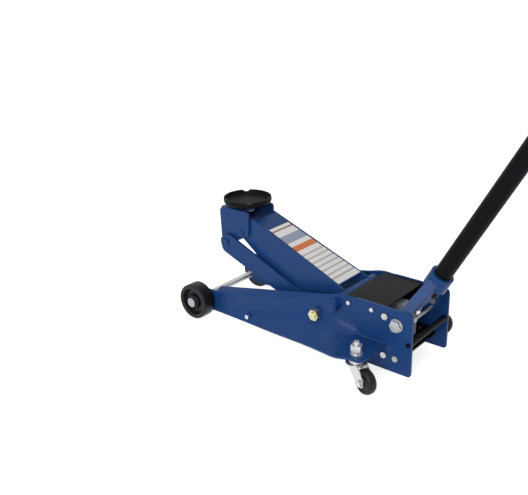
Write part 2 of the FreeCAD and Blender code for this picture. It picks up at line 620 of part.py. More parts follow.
def handle_socket():
    leg = socket_bar()
    legs = leg + [mirrored(shape) for shape in leg]
    collar = bar_z(0, 0, COLLAR_R, COLLAR_Z0, COLLAR_Z1)
    body = joined(legs + [socket_web(), collar])
    body = body.cut(bar_z(0, 0, TUBE_R + RUN, HANDLE_Z0 - 4, COLLAR_Z1 + 1))
    body = on_handle(body)
    pin = (ROLLER_X, ROLLER_Z)
    return body.cut([bar_y(HANDLE_PIVOT, PIN_R + RUN, -100, 100), bar_y(pin, ROLLER_PIN_R + RUN, -100, 100)])


def pivot_bolt():
    """Shoulder bolt that carries one leg of the handle socket."""
    shank = bar_y(HANDLE_PIVOT, PIN_R, INNER_Y - 2 - SOCKET_T - 1, REAR_Y + 4)
    flange = bar_y(HANDLE_PIVOT, 15, REAR_Y, REAR_Y + 3)
    head = hexagon(Vec(HANDLE_PIVOT[0], REAR_Y + 2.5, HANDLE_PIVOT[1]), Y_AXIS, 24, 8)
    return joined([shank, flange, head])


def tube(z_low, z_high, outer, inner):
    return bar_z(0, 0, outer, z_low, z_high).cut(bar_z(0, 0, inner, z_low - 1, z_high + 1))


def make_handle():
    pieces["handle_socket"] = handle_socket()
    both_sides("handle_pivot_bolt", pivot_bolt)
    pin = (ROLLER_X, ROLLER_Z)
    end = INNER_Y - 1.5
    pieces["roller_pin"] = bar_y(pin, ROLLER_PIN_R, -end, end)
    roller = bar_y(pin, ROLLER_R, PLUNGER_Y - 9, PLUNGER_Y + 9)
    pieces["pump_roller"] = roller.cut(bar_y(pin, ROLLER_PIN_R + RUN, 0, 100))
    pieces["pump_plunger"] = plunger()
    inner = TUBE_R - TUBE_WALL
    lower = tube(HANDLE_Z0, HANDLE_SPLIT, TUBE_R, inner)
    upper = tube(HANDLE_SPLIT - OVERLAP, HANDLE_Z1, inner - RUN, inner - TUBE_WALL)
    bolt_z = HANDLE_SPLIT - OVERLAP / 2
    hole = Part.makeCylinder(4 + RUN, 100, Vec(0, -50, bolt_z), Y_AXIS)
    pieces["handle_lower_tube"] = on_handle(lower.cut(hole))
    pieces["handle_upper_tube"] = on_handle(upper.cut(hole))
    bolt = Part.makeCylinder(4, 2 * TUBE_R + 10, Vec(0, -TUBE_R - 2, bolt_z), Y_AXIS)
    bolt = bolt.fuse([hexagon(Vec(0, -TUBE_R - 0.2, bolt_z), Vec(0, -1, 0), 13, 5),
                      hexagon(Vec(0, TUBE_R + 0.2, bolt_z), Y_AXIS, 13, 6.5)])
    pieces["handle_joint_bolt"] = on_handle(bolt)
    grip = tube(HANDLE_Z1 - GRIP_LENGTH, HANDLE_Z1 + 4, inner + GRIP_T, inner)
    cap = bar_z(0, 0, inner + GRIP_T, HANDLE_Z1 + SEAT, HANDLE_Z1 + 5)
    pieces["handle_grip"] = on_handle(joined([grip, cap]))
    shaft = bar_z(0, 0, STEM_R + 1, JOINT_R + SEAT, HANDLE_Z0 + 30)
    plug = bar_z(0, 0, inner - RUN, HANDLE_Z0, HANDLE_Z0 + 14)
    pieces["release_shaft"] = on_handle(joined([shaft, plug]))
    pieces["release_joint"] = on_handle(Part.makeSphere(JOINT_R))
    level = COLLAR_Z1 - 8
    screw = Part.makeCylinder(4, 12, Vec(0, -COLLAR_R - 8, level), Y_AXIS)
    head = hexagon(Vec(0, -COLLAR_R - 6, level), Vec(0, -1, 0), 13, 6)
    pieces["collar_screw"] = on_handle(screw.fuse(head))
    pieces["handle_socket"] = pieces["handle_socket"].cut(pieces["collar_screw"])


# ---------------------------------------------------------------- casters

def place_caster(shape, side):
    """Turns a caster piece by the resting swing and sets it under its shelf."""
    shape.rotate(Vec(0, 0, 0), Z_AXIS, -side * CASTER_SWING)
    shape.translate(Vec(CASTER_X, side * CASTER_Y, 0))
    return shape


def caster_fork():
    """Crown plate with two legs that trail back to the wheel axle."""
    half = CASTER_W / 2 + 1
    crown = bar_z(0, 0, CROWN_R, CROWN_Z, CROWN_Z + FORK_T + 1)
    bridge = box(-CROWN_R + 4, 8, -half - FORK_T, half + FORK_T, CROWN_Z, CROWN_Z + FORK_T)
    leg = side_sheet([(-CROWN_R + 2, CROWN_Z + FORK_T, 2), (16, CROWN_Z + FORK_T, 2),
                      (-CASTER_TRAIL + 10, CASTER_R - 9, 7), (-CASTER_TRAIL - 9, CASTER_R - 9, 7),
                      (-CASTER_TRAIL - 9, CASTER_R + 10, 6)], half, half + FORK_T)
    fork = joined([crown, bridge, leg, mirrored(leg)])
    bore = bar_y((-CASTER_TRAIL, CASTER_R), 4 + RUN, -50, 50)
    return fork.cut([bore, bar_z(0, 0, STUD_R + RUN, 0, 100)])


def caster_wheel():
    half = CASTER_W / 2
    profile = [(4 + RUN, -half), (CASTER_R - 7, -half), (CASTER_R - 2.5, -half + 2), (CASTER_R, -half + 5),
               (CASTER_R, half - 5), (CASTER_R - 2.5, half - 2), (CASTER_R - 7, half), (4 + RUN, half)]
    corners = [Vec(radius, y, 0) for radius, y in profile]
    wheel = Part.Face(Part.makePolygon(corners + corners[:1])).revolve(Vec(0, 0, 0), Y_AXIS, 360)
    wheel.translate(Vec(-CASTER_TRAIL, 0, CASTER_R))
    return wheel


def caster_axle():
    half = CASTER_W / 2 + 1 + FORK_T
    centre = (-CASTER_TRAIL, CASTER_R)
    shank = bar_y(centre, 4, -half - 6, half + 1)
    head = hexagon(Vec(centre[0], half + 0.2, centre[1]), Y_AXIS, 13, 5)
    nut = hexagon(Vec(centre[0], -half - 0.2, centre[1]), Vec(0, -1, 0), 13, 5)
    return joined([shank, head, nut])


def caster_race():
    """Upper race that stays with the shelf."""
    under = SHELF_Z - PLATE_T
    return bar_z(0, 0, 17, CROWN_Z + FORK_T + 2, under).cut(bar_z(0, 0, STUD_R, 0, 100))


def caster_stud():
    """King bolt with its head under the crown."""
    shank = bar_z(0, 0, STUD_R, CROWN_Z - 3, SHELF_Z + 30)
    head = bar_z(0, 0, 11, CROWN_Z - 4, CROWN_Z - SEAT)
    return joined([shank, head])


def make_casters():
    hardware = []
    for name, side in (("left", 1), ("right", -1)):
        pieces["caster_fork_" + name] = place_caster(caster_fork(), side)
        pieces["caster_wheel_" + name] = place_caster(caster_wheel(), side)
        pieces["caster_axle_" + name] = place_caster(caster_axle(), side)
        pieces["caster_race_" + name] = place_caster(caster_race(), side)
        pieces["caster_stud_" + name] = place_caster(caster_stud(), side)
        washer = bar_z(0, 0, 14, SHELF_Z, SHELF_Z + 3).fuse(bar_z(0, 0, 11, SHELF_Z + 3, SHELF_Z + 7))
        nut = hexagon(Vec(0, 0, SHELF_Z + 7), Z_AXIS, 22, 15)
        hardware.append(place_caster(washer.fuse(nut).cut(bar_z(0, 0, STUD_R, 0, 200)), side))
    pieces["caster_nuts"] = Part.makeCompound(hardware)


def export_all():
    """Centres the set along X and writes one STEP file per node."""
    boxes = [shape.BoundBox for shape in pieces.values()]
    middle = (min(b.XMin for b in boxes) + max(b.XMax for b in boxes)) / 2
    os.makedirs("parts", exist_ok=True)
    for name, shape in pieces.items():
        placed = shape.copy()
        placed.translate(Vec(-middle, 0, 0))
        placed.exportStep("parts/" + name + ".step")
    print("shift along X", round(-middle, 3), "nodes", len(pieces))


make_frame()
make_front()
make_linkage()
hydraulic_unit()
make_handle()
make_casters()
export_all()
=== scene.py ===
import math
import bpy
import numpy as np
from mathutils import Matrix, Vector


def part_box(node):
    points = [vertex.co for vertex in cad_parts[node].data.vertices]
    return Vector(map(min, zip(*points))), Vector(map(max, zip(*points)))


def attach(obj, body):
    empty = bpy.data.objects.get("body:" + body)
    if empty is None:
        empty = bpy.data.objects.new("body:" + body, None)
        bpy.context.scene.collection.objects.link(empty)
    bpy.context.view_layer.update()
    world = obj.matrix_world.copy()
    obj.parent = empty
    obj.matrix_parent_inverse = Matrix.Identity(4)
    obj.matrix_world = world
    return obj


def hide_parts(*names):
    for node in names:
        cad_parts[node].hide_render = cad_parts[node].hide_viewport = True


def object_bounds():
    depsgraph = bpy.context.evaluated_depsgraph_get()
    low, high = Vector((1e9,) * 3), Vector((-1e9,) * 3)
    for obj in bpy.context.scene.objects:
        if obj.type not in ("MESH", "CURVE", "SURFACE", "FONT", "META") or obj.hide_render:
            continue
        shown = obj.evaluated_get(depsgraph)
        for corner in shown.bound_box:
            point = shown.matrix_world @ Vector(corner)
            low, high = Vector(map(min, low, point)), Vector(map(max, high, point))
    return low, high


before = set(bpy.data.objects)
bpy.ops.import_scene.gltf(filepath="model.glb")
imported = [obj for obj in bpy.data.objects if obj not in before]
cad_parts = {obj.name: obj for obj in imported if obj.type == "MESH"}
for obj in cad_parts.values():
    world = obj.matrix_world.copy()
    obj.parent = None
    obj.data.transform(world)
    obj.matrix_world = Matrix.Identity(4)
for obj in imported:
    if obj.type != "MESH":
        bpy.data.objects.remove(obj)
CAD_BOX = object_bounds()
MM = 0.001
TAU = 2 * math.pi


# ---------------------------------------------------------------- materials

def linear(hex_colour):
    """sRGB hex to the linear colour that shaders take."""
    channels = [int(hex_colour[i:i + 2], 16) / 255 for i in (1, 3, 5)]
    turned = [c / 12.92 if c <= 0.04045 else ((c + 0.055) / 1.055) ** 2.4 for c in channels]
    return (*turned, 1.0)


def add(tree, kind, settings=None, links=None):
    """Adds one shader node, sets its values and links its inputs."""
    node = tree.nodes.new(kind)
    for key, value in (settings or {}).items():
        if key in node.inputs:
            node.inputs[key].default_value = value
        else:
            setattr(node, key, value)
    for key, source in (links or {}).items():
        tree.links.new(source, node.inputs[key])
    return node


def finish_of(name, **values):
    """A material with one principled shader, its constants on the shader's own sockets."""
    material = bpy.data.materials.new(name)
    material.use_nodes = True
    tree = material.node_tree
    shader = tree.nodes["Principled BSDF"]
    for key, value in values.items():
        shader.inputs[key.replace("_", " ")].default_value = value
    return material, tree, shader


def grain(tree, size_mm, detail=2.0, stretch=(1, 1, 1)):
    """Noise on Object coordinates whose lumps are size_mm across."""
    place = add(tree, "ShaderNodeTexCoord").outputs["Object"]
    scaled = add(tree, "ShaderNodeMapping", {"Scale": stretch}, {"Vector": place}).outputs["Vector"]
    lumps = {"Scale": 1 / (size_mm * MM), "Detail": detail}
    noise = add(tree, "ShaderNodeTexNoise", lumps, {"Vector": scaled})
    return noise.outputs["Fac"]


def between(tree, factor, low, high):
    """Maps a 0 to 1 pattern onto a range."""
    spread = {"To Min": low, "To Max": high}
    return add(tree, "ShaderNodeMapRange", spread, {"Value": factor}).outputs["Result"]


def bumped(tree, shader, height, strength, depth_mm):
    """Lets a pattern lift the surface."""
    bump = add(tree, "ShaderNodeBump", {"Strength": strength, "Distance": depth_mm * MM}, {"Height": height})
    tree.links.new(bump.outputs["Normal"], shader.inputs["Normal"])


def tinted(tree, shader, factor, dark, light):
    """Base colour that wanders between two close hex colours."""
    mix = add(tree, "ShaderNodeMix", {"data_type": "RGBA"}, {"Factor": factor})
    mix.inputs[6].default_value = linear(dark)
    mix.inputs[7].default_value = linear(light)
    tree.links.new(mix.outputs[2], shader.inputs["Base Color"])


def blue_enamel():
    """Stoved blue enamel on pressed steel: deep colour with a soft sheen and faint orange peel."""
    material, tree, shader = finish_of("blue_stoved_enamel", Roughness=0.36, IOR=1.5,
                                       Specular_IOR_Level=0.16)
    tinted(tree, shader, grain(tree, 60), "#163a6e", "#1a4078")
    bumped(tree, shader, grain(tree, 4.0), 0.10, 0.2)
    return material


def black_enamel():
    """Black enamel on tube and sheet: near black with a soft sheen and fine peel."""
    material, tree, shader = finish_of("black_enamel", Roughness=0.42, IOR=1.5, Specular_IOR_Level=0.06)
    tinted(tree, shader, grain(tree, 30), "#07080a", "#0c0d10")
    bumped(tree, shader, grain(tree, 3.0), 0.08, 0.15)
    return material


def cast_black():
    """Black-painted iron casting: rougher skin of sand grain under thick paint."""
    material, tree, shader = finish_of("painted_iron_casting", Roughness=0.5, IOR=1.5,
                                       Specular_IOR_Level=0.06)
    tinted(tree, shader, grain(tree, 20), "#0b0c0e", "#141518")
    bumped(tree, shader, grain(tree, 1.6, 3.0), 0.25, 0.3)
    return material


def pump_primer():
    """Pump casting under pale grey primer: matt, with the grain of its sand mould."""
    material, tree, shader = finish_of("primed_pump_casting", Roughness=0.55, IOR=1.5)
    tinted(tree, shader, grain(tree, 10), "#8d9092", "#a6a9aa")
    bumped(tree, shader, grain(tree, 1.6, 3.0), 0.2, 0.2)
    return material


def zinc_plate():
    """Bright zinc on pressed steel and bolts: pale grey metal with soft patches of dulling."""
    material, tree, shader = finish_of("bright_zinc_plate", Metallic=1.0)
    patch = grain(tree, 9, 3.0)
    tinted(tree, shader, patch, "#b4b6b6", "#cfd1d2")
    tree.links.new(between(tree, patch, 0.28, 0.46), shader.inputs["Roughness"])
    return material


def yellow_zinc():
    """Yellow-passivated zinc on nuts: warm straw colour with a faint rainbow drift."""
    material, tree, shader = finish_of("yellow_passivated_zinc", Metallic=1.0, Roughness=0.35)
    tinted(tree, shader, grain(tree, 6, 3.0), "#b9b48c", "#d2cdb0")
    return material


def hard_chrome():
    """Ground and chromed rod: mirror-like with hair-fine marks round it, drawn 0.8 mm apart to show."""
    material, tree, shader = finish_of("ground_chromed_rod", Metallic=1.0)
    marks = grain(tree, 0.8, 1.0, (1, 0.05, 0.05))
    tinted(tree, shader, marks, "#c4c6c8", "#dadcde")
    tree.links.new(between(tree, marks, 0.12, 0.22), shader.inputs["Roughness"])
    return material


def turned_steel():
    """Machined steel left bare under oil: mid grey, with fine tool marks drawn 1 mm apart to show."""
    material, tree, shader = finish_of("turned_oiled_steel", Metallic=1.0)
    marks = grain(tree, 1.0, 2.0)
    tinted(tree, shader, marks, "#8d8f92", "#a9abad")
    tree.links.new(between(tree, marks, 0.3, 0.42), shader.inputs["Roughness"])
    return material


def moulded_nylon():
    """Black glass-filled nylon wheel: dark, faintly grainy, with a soft highlight."""
    material, tree, shader = finish_of("moulded_black_nylon", Roughness=0.4, IOR=1.53, Specular_IOR_Level=0.2)
    tinted(tree, shader, grain(tree, 12), "#0c0d10", "#15171a")
    bumped(tree, shader, grain(tree, 1.2, 3.0), 0.12, 0.12)
    return material


def moulded_rubber():
    """Black rubber sleeve: matt, with a slight bloom."""
    material, tree, shader = finish_of("moulded_rubber", Roughness=0.68, IOR=1.5, Specular_IOR_Level=0.2)
    tinted(tree, shader, grain(tree, 10), "#131416", "#1e2022")
    bumped(tree, shader, grain(tree, 0.9, 3.0), 0.2, 0.1)
    return material


def label_vinyl():
    """Gloss white vinyl: an orange band, thin grey bars behind it, a plain patch and a line before it."""
    material, tree, shader = finish_of("printed_vinyl", Roughness=0.3, IOR=1.46)
    low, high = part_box("arm_label")
    place = add(tree, "ShaderNodeTexCoord").outputs["Object"]
    along = add(tree, "ShaderNodeSeparateXYZ", links={"Vector": place}).outputs["X"]
    spread = {"From Min": low.x, "From Max": high.x}
    share = add(tree, "ShaderNodeMapRange", spread, {"Value": along}).outputs["Result"]
    ramp = add(tree, "ShaderNodeValToRGB", links={"Fac": share})
    ramp.color_ramp.interpolation = "CONSTANT"
    paper, ink = "#e4e2e0", "#aca7a4"
    stops = [(0.0, paper)]
    for start in (0.07, 0.14, 0.21, 0.28, 0.35, 0.42, 0.49):
        stops += [(start, ink), (start + 0.02, paper)]
    stops += [(0.58, "#d06a22"), (0.66, paper), (0.72, "#8d97ab"), (0.84, paper)]
    stops += [(0.93, "#8a6a56"), (0.955, paper)]
    elements = ramp.color_ramp.elements
    while len(elements) < len(stops):
        elements.new(1.0)
    for element, (position, colour) in zip(elements, stops):
        element.position = position
        element.color = linear(colour)
    tree.links.new(ramp.outputs["Color"], shader.inputs["Base Color"])
    return material


BLUE, BLACK, CAST = blue_enamel(), black_enamel(), cast_black()
ZINC, YELLOW, CHROME, STEEL = zinc_plate(), yellow_zinc(), hard_chrome(), turned_steel()
NYLON, RUBBER, LABEL, PRIMER = moulded_nylon(), moulded_rubber(), label_vinyl(), pump_primer()

FINISHES = {
    BLUE: ["side_plate_left", "side_plate_right", "lift_arm", "saddle_bracket", "handle_socket",
           "radius_rod_left", "radius_rod_right", "arm_pivot_shaft", "arm_tip_pin", "bracket_pin"],
    BLACK: ["cover_plate", "handle_lower_tube", "handle_upper_tube", "unit_cradle", "rear_tie_bar",
            "cylinder_tube"],
    CAST: ["saddle"],
    ZINC: ["caster_fork_left", "caster_fork_right", "caster_nuts", "caster_stud_left", "caster_stud_right",
           "caster_axle_left", "caster_axle_right", "caster_race_left", "caster_race_right", "axle_washers",
           "cover_screws", "cradle_bolts", "unit_bolts", "low_bolts", "handle_pivot_bolt_left",
           "handle_pivot_bolt_right", "handle_joint_bolt", "collar_screw", "filler_plug",
           "release_valve_gland", "saddle_circlip", "front_axle"],
    PRIMER: ["pump_block"],
    YELLOW: ["rod_pivot_nuts", "rod_pivot_bolt_left", "rod_pivot_bolt_right"],
    CHROME: ["ram", "pump_plunger", "release_valve_stem", "release_joint"],
    STEEL: ["push_pin", "roller_pin", "pump_roller", "release_shaft", "gland_nut", "hub_caps"],
    NYLON: ["front_wheel_left", "front_wheel_right", "caster_wheel_left", "caster_wheel_right"],
    RUBBER: ["handle_grip"],
    LABEL: ["arm_label"],
}
for finish, nodes in FINISHES.items():
    for name in nodes:
        node_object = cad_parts[name]
        node_object.data.materials.clear()
        node_object.data.materials.append(finish)


# ---------------------------------------------------------------- surfaces

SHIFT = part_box("side_plate_left")[0].x / MM      # row x, in mm, of the side plates' rear edge
UP = np.array([0.0, 0.0, 1.0])
POLE = 0.01                                      # radius of the pinhole left where a surface meets its axis


def centre_of(node):
    """Middle of a CAD node's box, in mm."""
    low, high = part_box(node)
    return np.array((low + high) / 2) / MM


def new_piece(name, shells, finish, body, replaced):
    """One object out of (points, faces) shells in mm, riding on a body in place of CAD nodes."""
    points, faces, count = [], [], 0
    for verts, quads in shells:
        points.append(np.asarray(verts, float).reshape(-1, 3))
        faces += [tuple(int(i) + count for i in face) for face in quads]
        count += len(points[-1])
    cloud = np.concatenate(points) * MM
    mesh = bpy.data.meshes.new(name)
    mesh.from_pydata(cloud.tolist(), [], faces)
    mesh.materials.append(finish)
    mesh.shade_smooth()
    mesh.set_sharp_from_angle(angle=math.radians(38))
    piece = bpy.data.objects.new(name, mesh)
    bpy.context.collection.objects.link(piece)
    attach(piece, body)
    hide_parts(*replaced)
    return piece


def mirrored(shell):
    """The shell seen in the jack's middle plane, its faces turned to keep pointing out."""
    verts, quads = shell
    return verts * np.array([1, -1, 1]), [face[::-1] for face in quads]


def grid_faces(rows, columns, wrap_rows=False, wrap_columns=False):
    """Quads between the neighbours of a rows by columns grid."""
    i = np.arange(rows if wrap_rows else rows - 1)[:, None]
    j = np.arange(columns if wrap_columns else columns - 1)[None, :]
    low, high = i * columns, (i + 1) % rows * columns
    after = (j + 1) % columns
    return np.stack([low + j, high + j, high + after, low + after], -1).reshape(-1, 4).tolist()


def rounded_line(corners, radii, steps=6):
    """Open line through corners, each turned by a parabola that starts radius away from it."""
    corners = np.asarray(corners, float)
    line = [corners[:1]]
    t = np.linspace(0, 1, steps)[:, None]
    for before, corner, after, radius in zip(corners, corners[1:], corners[2:], radii):
        start = corner + (before - corner) * min(0.5, radius / np.linalg.norm(before - corner))
        end = corner + (after - corner) * min(0.5, radius / np.linalg.norm(after - corner))
        line.append((1 - t) ** 2 * start + 2 * t * (1 - t) * corner + t ** 2 * end)
    line.append(corners[-1:])
    return np.concatenate(line)


def turned(profile, centre, axis, segments=72):
    """Surface of revolution: profile rows are (radius, distance along axis), swept a full turn.

    Known fault: a profile that ends where it began is not welded there, and one that ends at the axis
    leaves a pinhole, so the surface has open edges."""
    axis = np.asarray(axis, float) / np.linalg.norm(axis)
    side = np.cross(axis, UP if abs(axis[2]) < 0.9 else np.array([1.0, 0, 0]))
    side /= np.linalg.norm(side)
    other = np.cross(axis, side)
    profile = np.asarray(profile, float)
    turn = np.linspace(0, TAU, segments, endpoint=False)[:, None, None]
    around = np.cos(turn) * side + np.sin(turn) * other
    verts = np.asarray(centre, float) + profile[None, :, :1] * around + profile[None, :, 1:] * axis
    return verts.reshape(-1, 3), grid_faces(segments, len(profile), wrap_rows=True)


def sheet(grid, thickness):
    """Sheet between a grid of points and its copy, thickness below it along the grid's normal.

    Known fault: the faces round the rim point inwards, and at the tightest bends some faces of the copy
    are turned over."""
    rows, columns = grid.shape[:2]
    normal = np.cross(np.gradient(grid, axis=1), np.gradient(grid, axis=0))
    normal /= np.linalg.norm(normal, axis=2, keepdims=True) + 1e-12
    under = grid - thickness * normal
    count = rows * columns
    top = grid_faces(rows, columns)
    faces = [face[::-1] for face in top] + [[i + count for i in face] for face in top]
    index = np.arange(count).reshape(rows, columns)
    rim = np.concatenate([index[0, :-1], index[:-1, -1], index[-1, :0:-1], index[:0:-1, 0]])
    following = np.roll(rim, -1)
    faces += np.stack([rim, following, following + count, rim + count], 1).tolist()
    return np.concatenate([grid.reshape(-1, 3), under.reshape(-1, 3)]), faces


def slab(outline, y_low, y_high):
    """Flat plate: a closed (x, z) outline carried from y_low to y_high, capped by one face at each end.

    Known fault: the faces round its edge point inwards."""
    outline = np.asarray(outline, float)
    count = len(outline)
    near = np.column_stack([outline[:, 0], np.full(count, y_low), outline[:, 1]])
    far = near + np.array([0, y_high - y_low, 0])
    ring = np.arange(count)
    after = np.roll(ring, -1)
    x, z = outline.T
    turn = np.sum(x * np.roll(z, -1) - z * np.roll(x, -1))
    faces = np.stack([ring, ring + count, after + count, after], 1).tolist()
    faces += [ring[::-1].tolist(), (ring + count).tolist()]
    if turn > 0:
        faces = [face[::-1] for face in faces]
    return np.concatenate([near, far]), faces


def closed_outline(corners, radii, steps=8):
    """Closed outline with each corner turned by a parabola of its own reach."""
    corners = np.asarray(corners, float)
    line = rounded_line(np.concatenate([corners[-1:], corners, corners[:1]]), radii, steps)
    return line[1:-1]


def fair(at, knots, values):
    """Smooth curve through the knots that never overshoots between two of them."""
    knots, values = np.asarray(knots, float), np.asarray(values, float)
    steps = np.diff(knots)
    rise = np.diff(values) / steps
    flat = rise[:-1] * rise[1:] <= 0
    safe = np.where(flat, 1.0, rise[:-1] + rise[1:])
    middle = np.where(flat, 0.0, 2 * rise[:-1] * rise[1:] / safe)
    slope = np.concatenate([rise[:1], middle, rise[-1:]])
    i = np.clip(np.searchsorted(knots, at, "right") - 1, 0, len(steps) - 1)
    h, t = steps[i], (at - knots[i]) / steps[i]
    return ((1 + 2 * t) * (1 - t) ** 2 * values[i] + t * (1 - t) ** 2 * h * slope[i]
            + t * t * (3 - 2 * t) * values[i + 1] - t * t * (1 - t) * h * slope[i + 1])


# ---------------------------------------------------------------- side plates

# stations of the pressed sheet, in mm from the plates' rear edge: x of its upper part, x of its foot, then
# (y, z) of the top edge, the top fold, the bend and the foot, and how far the bend is drawn out
STATIONS = [
    (61, 61, 81, 165, 83, 163, 83, 78, 180, 78, 4),
    (110, 90, 81, 165, 83, 163, 83, 78, 180, 78, 4),
    (131, 106, 81, 165, 83, 163, 83, 79, 180, 75, 6),
    (140, 137, 81, 165, 83, 163, 83, 83, 174.5, 65.5, 16),
    (165, 165, 82, 165, 84.5, 163, 86, 90, 169.5, 62.5, 26),
    (218, 218, 83, 153, 88, 151, 92, 100, 160, 57, 40),
    (330, 330, 83, 129, 97, 120, 104, 72, 141, 44, 40),
    (548, 548, 83, 82, 102, 73, 102, 46, 102, 19, 20),
]
SHEET_T = 5.0
SHELF_CORNER = 16.0


def pressed_sheet():
    """Flared front panel and caster shelf: stations joined by smooth curves, each section a line with two
    parabola bends, so the vertical web rolls over into the sloping flange and then into the level shelf."""
    table = np.array(STATIONS, float)
    spacing = np.concatenate([[0], np.cumsum(np.hypot(*np.diff(table[:, :2], axis=0).T))])
    at = np.unique(np.concatenate([np.linspace(0, 18, 14), np.linspace(18, spacing[-1], 90), spacing]))
    x_in, x_foot, *rest = (fair(at, spacing, column) for column in table.T)
    reach = rest.pop()
    points = [np.column_stack([x_in, rest[k], rest[k + 1]]) for k in (0, 2, 4)]
    foot = np.column_stack([x_foot, rest[6], rest[7]])
    cut = np.clip(SHELF_CORNER - (x_foot - table[0, 1]), 0, SHELF_CORNER)
    foot[:, 1] -= SHELF_CORNER - np.sqrt(SHELF_CORNER ** 2 - cut ** 2)
    points.append(foot)
    rows = bent_rows(points, [np.full(len(at), 5.0), reach])
    grid = rows + np.array([SHIFT, 0, 0])
    return sheet(grid, SHEET_T)


def bent_rows(points, reaches):
    """Section points of every station at once: straight runs with a parabola at each inner corner."""
    t = np.linspace(0, 1, 9)[1:-1, None, None]
    rows = [points[0][None]]
    last = points[0]
    for before, corner, after, reach in zip(points, points[1:], points[2:], reaches):
        back, ahead = before - corner, after - corner
        back_length = np.linalg.norm(back, axis=1, keepdims=True)
        ahead_length = np.linalg.norm(ahead, axis=1, keepdims=True)
        start = corner + back * np.minimum(0.45, reach[:, None] / back_length)
        end = corner + ahead * np.minimum(0.45, reach[:, None] / ahead_length)
        run = np.linspace(0, 1, 6)[1:, None, None]
        rows.append(last + (start - last) * run)
        rows.append((1 - t) ** 2 * start + 2 * t * (1 - t) * corner + t ** 2 * end)
        rows.append(end[None])
        last = end
    run = np.linspace(0, 1, 10)[1:, None, None]
    rows.append(last + (points[-1] - last) * run)
    return np.concatenate(rows)


WEB = [(0, 17), (0, 165), (139, 165), (139, 17)]      # (x, z) outline of the flat rear web
WEB_CORNERS = [8, 14, 0.5, 8]
WEB_Y = (78, 82.9)
NOSE_X = 546.0
NOSE_Z = (19, 73)
NOSE_Y = (97, 101.9)
NOSE_R = 28.0
BOSS_R = 14.0
SEAT_R = 15.0
PAD_R = 8.0


def arm_boss():
    """Boss round the arm's pivot shaft, which stands 1.5 mm out of it."""
    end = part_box("arm_pivot_shaft")[1].y / MM - 1.5
    foot = WEB_Y[0]
    return [(11, foot), (BOSS_R, foot), (BOSS_R, end - 1), (BOSS_R - 1, end), (11, end), (11, foot)]


def nut_seat():
    """Raised seat under the radius rod's nut, which is 12.4 mm high."""
    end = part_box("rod_pivot_nuts")[1].y / MM - 12.4
    foot = 84
    return [(8, foot), (SEAT_R, foot), (SEAT_R - 0.4, end - 1), (SEAT_R - 1.4, end), (8, end), (8, foot)]


def bolt_pad():
    """Round pad under the low front bolt, whose head is 4.8 mm high."""
    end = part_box("low_bolts")[1].y / MM - 4.8
    return [(POLE, end - 12), (PAD_R, end - 12), (PAD_R, end - 1), (PAD_R - 1, end), (POLE, end)]


def side_plate():
    """Left side plate: flat rear web, pressed sheet, flat nose, pivot boss and the raised bolt seats."""
    across = np.array([1, 0, 1])
    offset = np.array([SHIFT, 0])
    axle = centre_of("front_wheel_left")[[0, 2]] - offset
    around = np.radians(np.linspace(-90, 90, 30))
    nose_end = axle + NOSE_R * np.column_stack([np.cos(around), np.sin(around)])
    nose = np.concatenate([[(NOSE_X, NOSE_Z[0])], nose_end, [(NOSE_X, NOSE_Z[1])]])
    web = closed_outline(WEB, WEB_CORNERS)
    shells = [slab(web + offset, *WEB_Y), pressed_sheet(), slab(nose + offset, *NOSE_Y)]
    for section, node in ((arm_boss(), "arm_pivot_shaft"), (nut_seat(), "rod_pivot_nuts"),
                          (bolt_pad(), "low_bolts")):
        shells.append(turned(section, centre_of(node) * across, (0, 1, 0)))
    return shells


plate_shells = side_plate()
new_piece("side_plate_left_pressing", plate_shells, BLUE, "frame", ["side_plate_left"])
new_piece("side_plate_right_pressing", [mirrored(shell) for shell in plate_shells], BLUE, "frame",
          ["side_plate_right"])


# ---------------------------------------------------------------- wheels

WHEEL_R = 45.0
WHEEL_HALF = 17.5                                # half the wheel's width
AXLE_BORE_R = 9.05
CASTER_SWING = math.radians(18)                  # how far each caster is turned at rest


def front_wheel(side):
    """Moulded wheel: rounded tread, thick rim, deep dished face with a raised hub boss."""
    centre = centre_of("front_wheel_left") * np.array([1, side, 1])
    inner, outer = -WHEEL_HALF, WHEEL_HALF
    section = [(AXLE_BORE_R, inner), (38, inner), (WHEEL_R, inner), (WHEEL_R, outer), (37, outer),
               (34, outer - 1), (30, outer - 14), (18, outer - 14), (15.5, outer - 4),
               (AXLE_BORE_R, outer - 4), (AXLE_BORE_R, inner)]
    profile = rounded_line(section, [0.5, 4, 4, 2, 2.5, 4, 3, 1.5, 0.3], 5)
    return turned(profile, centre, (0, side, 0), 96)


def caster_wheel(node, side):
    """Caster wheel: crowned tread with a fine groove each side and a shallow dish on each face."""
    swing = -side * CASTER_SWING
    axle = (-math.sin(swing), math.cos(swing), 0)
    half = [(4.05, 10.2), (11, 10.2), (13, 8.6), (19, 8.6), (21, 11), (25, 9.6), (27.2, 6.2), (27.7, 4.2),
            (27.1, 3.7), (27.8, 3.2), (28, 0)]
    section = half + [(radius, -along) for radius, along in half[-2::-1]] + [half[0]]
    return turned(np.array(section)[::-1], centre_of(node), axle, 80)


for name, side in (("left", 1), ("right", -1)):
    new_piece("front_wheel_" + name + "_moulding", [front_wheel(side)], NYLON, "front_wheel_" + name,
              ["front_wheel_" + name])
    new_piece("caster_wheel_" + name + "_moulding", [caster_wheel("caster_wheel_" + name, side)], NYLON,
              "caster_wheel_" + name, ["caster_wheel_" + name])


# ---------------------------------------------------------------- saddle and grip

SADDLE_R = 60.0
SADDLE_H = 20.0
POST_R = 14.0
NOTCH_DEPTH = 5.0
NOTCH_HALF = 6.5                                 # half a notch's width, measured along the rim


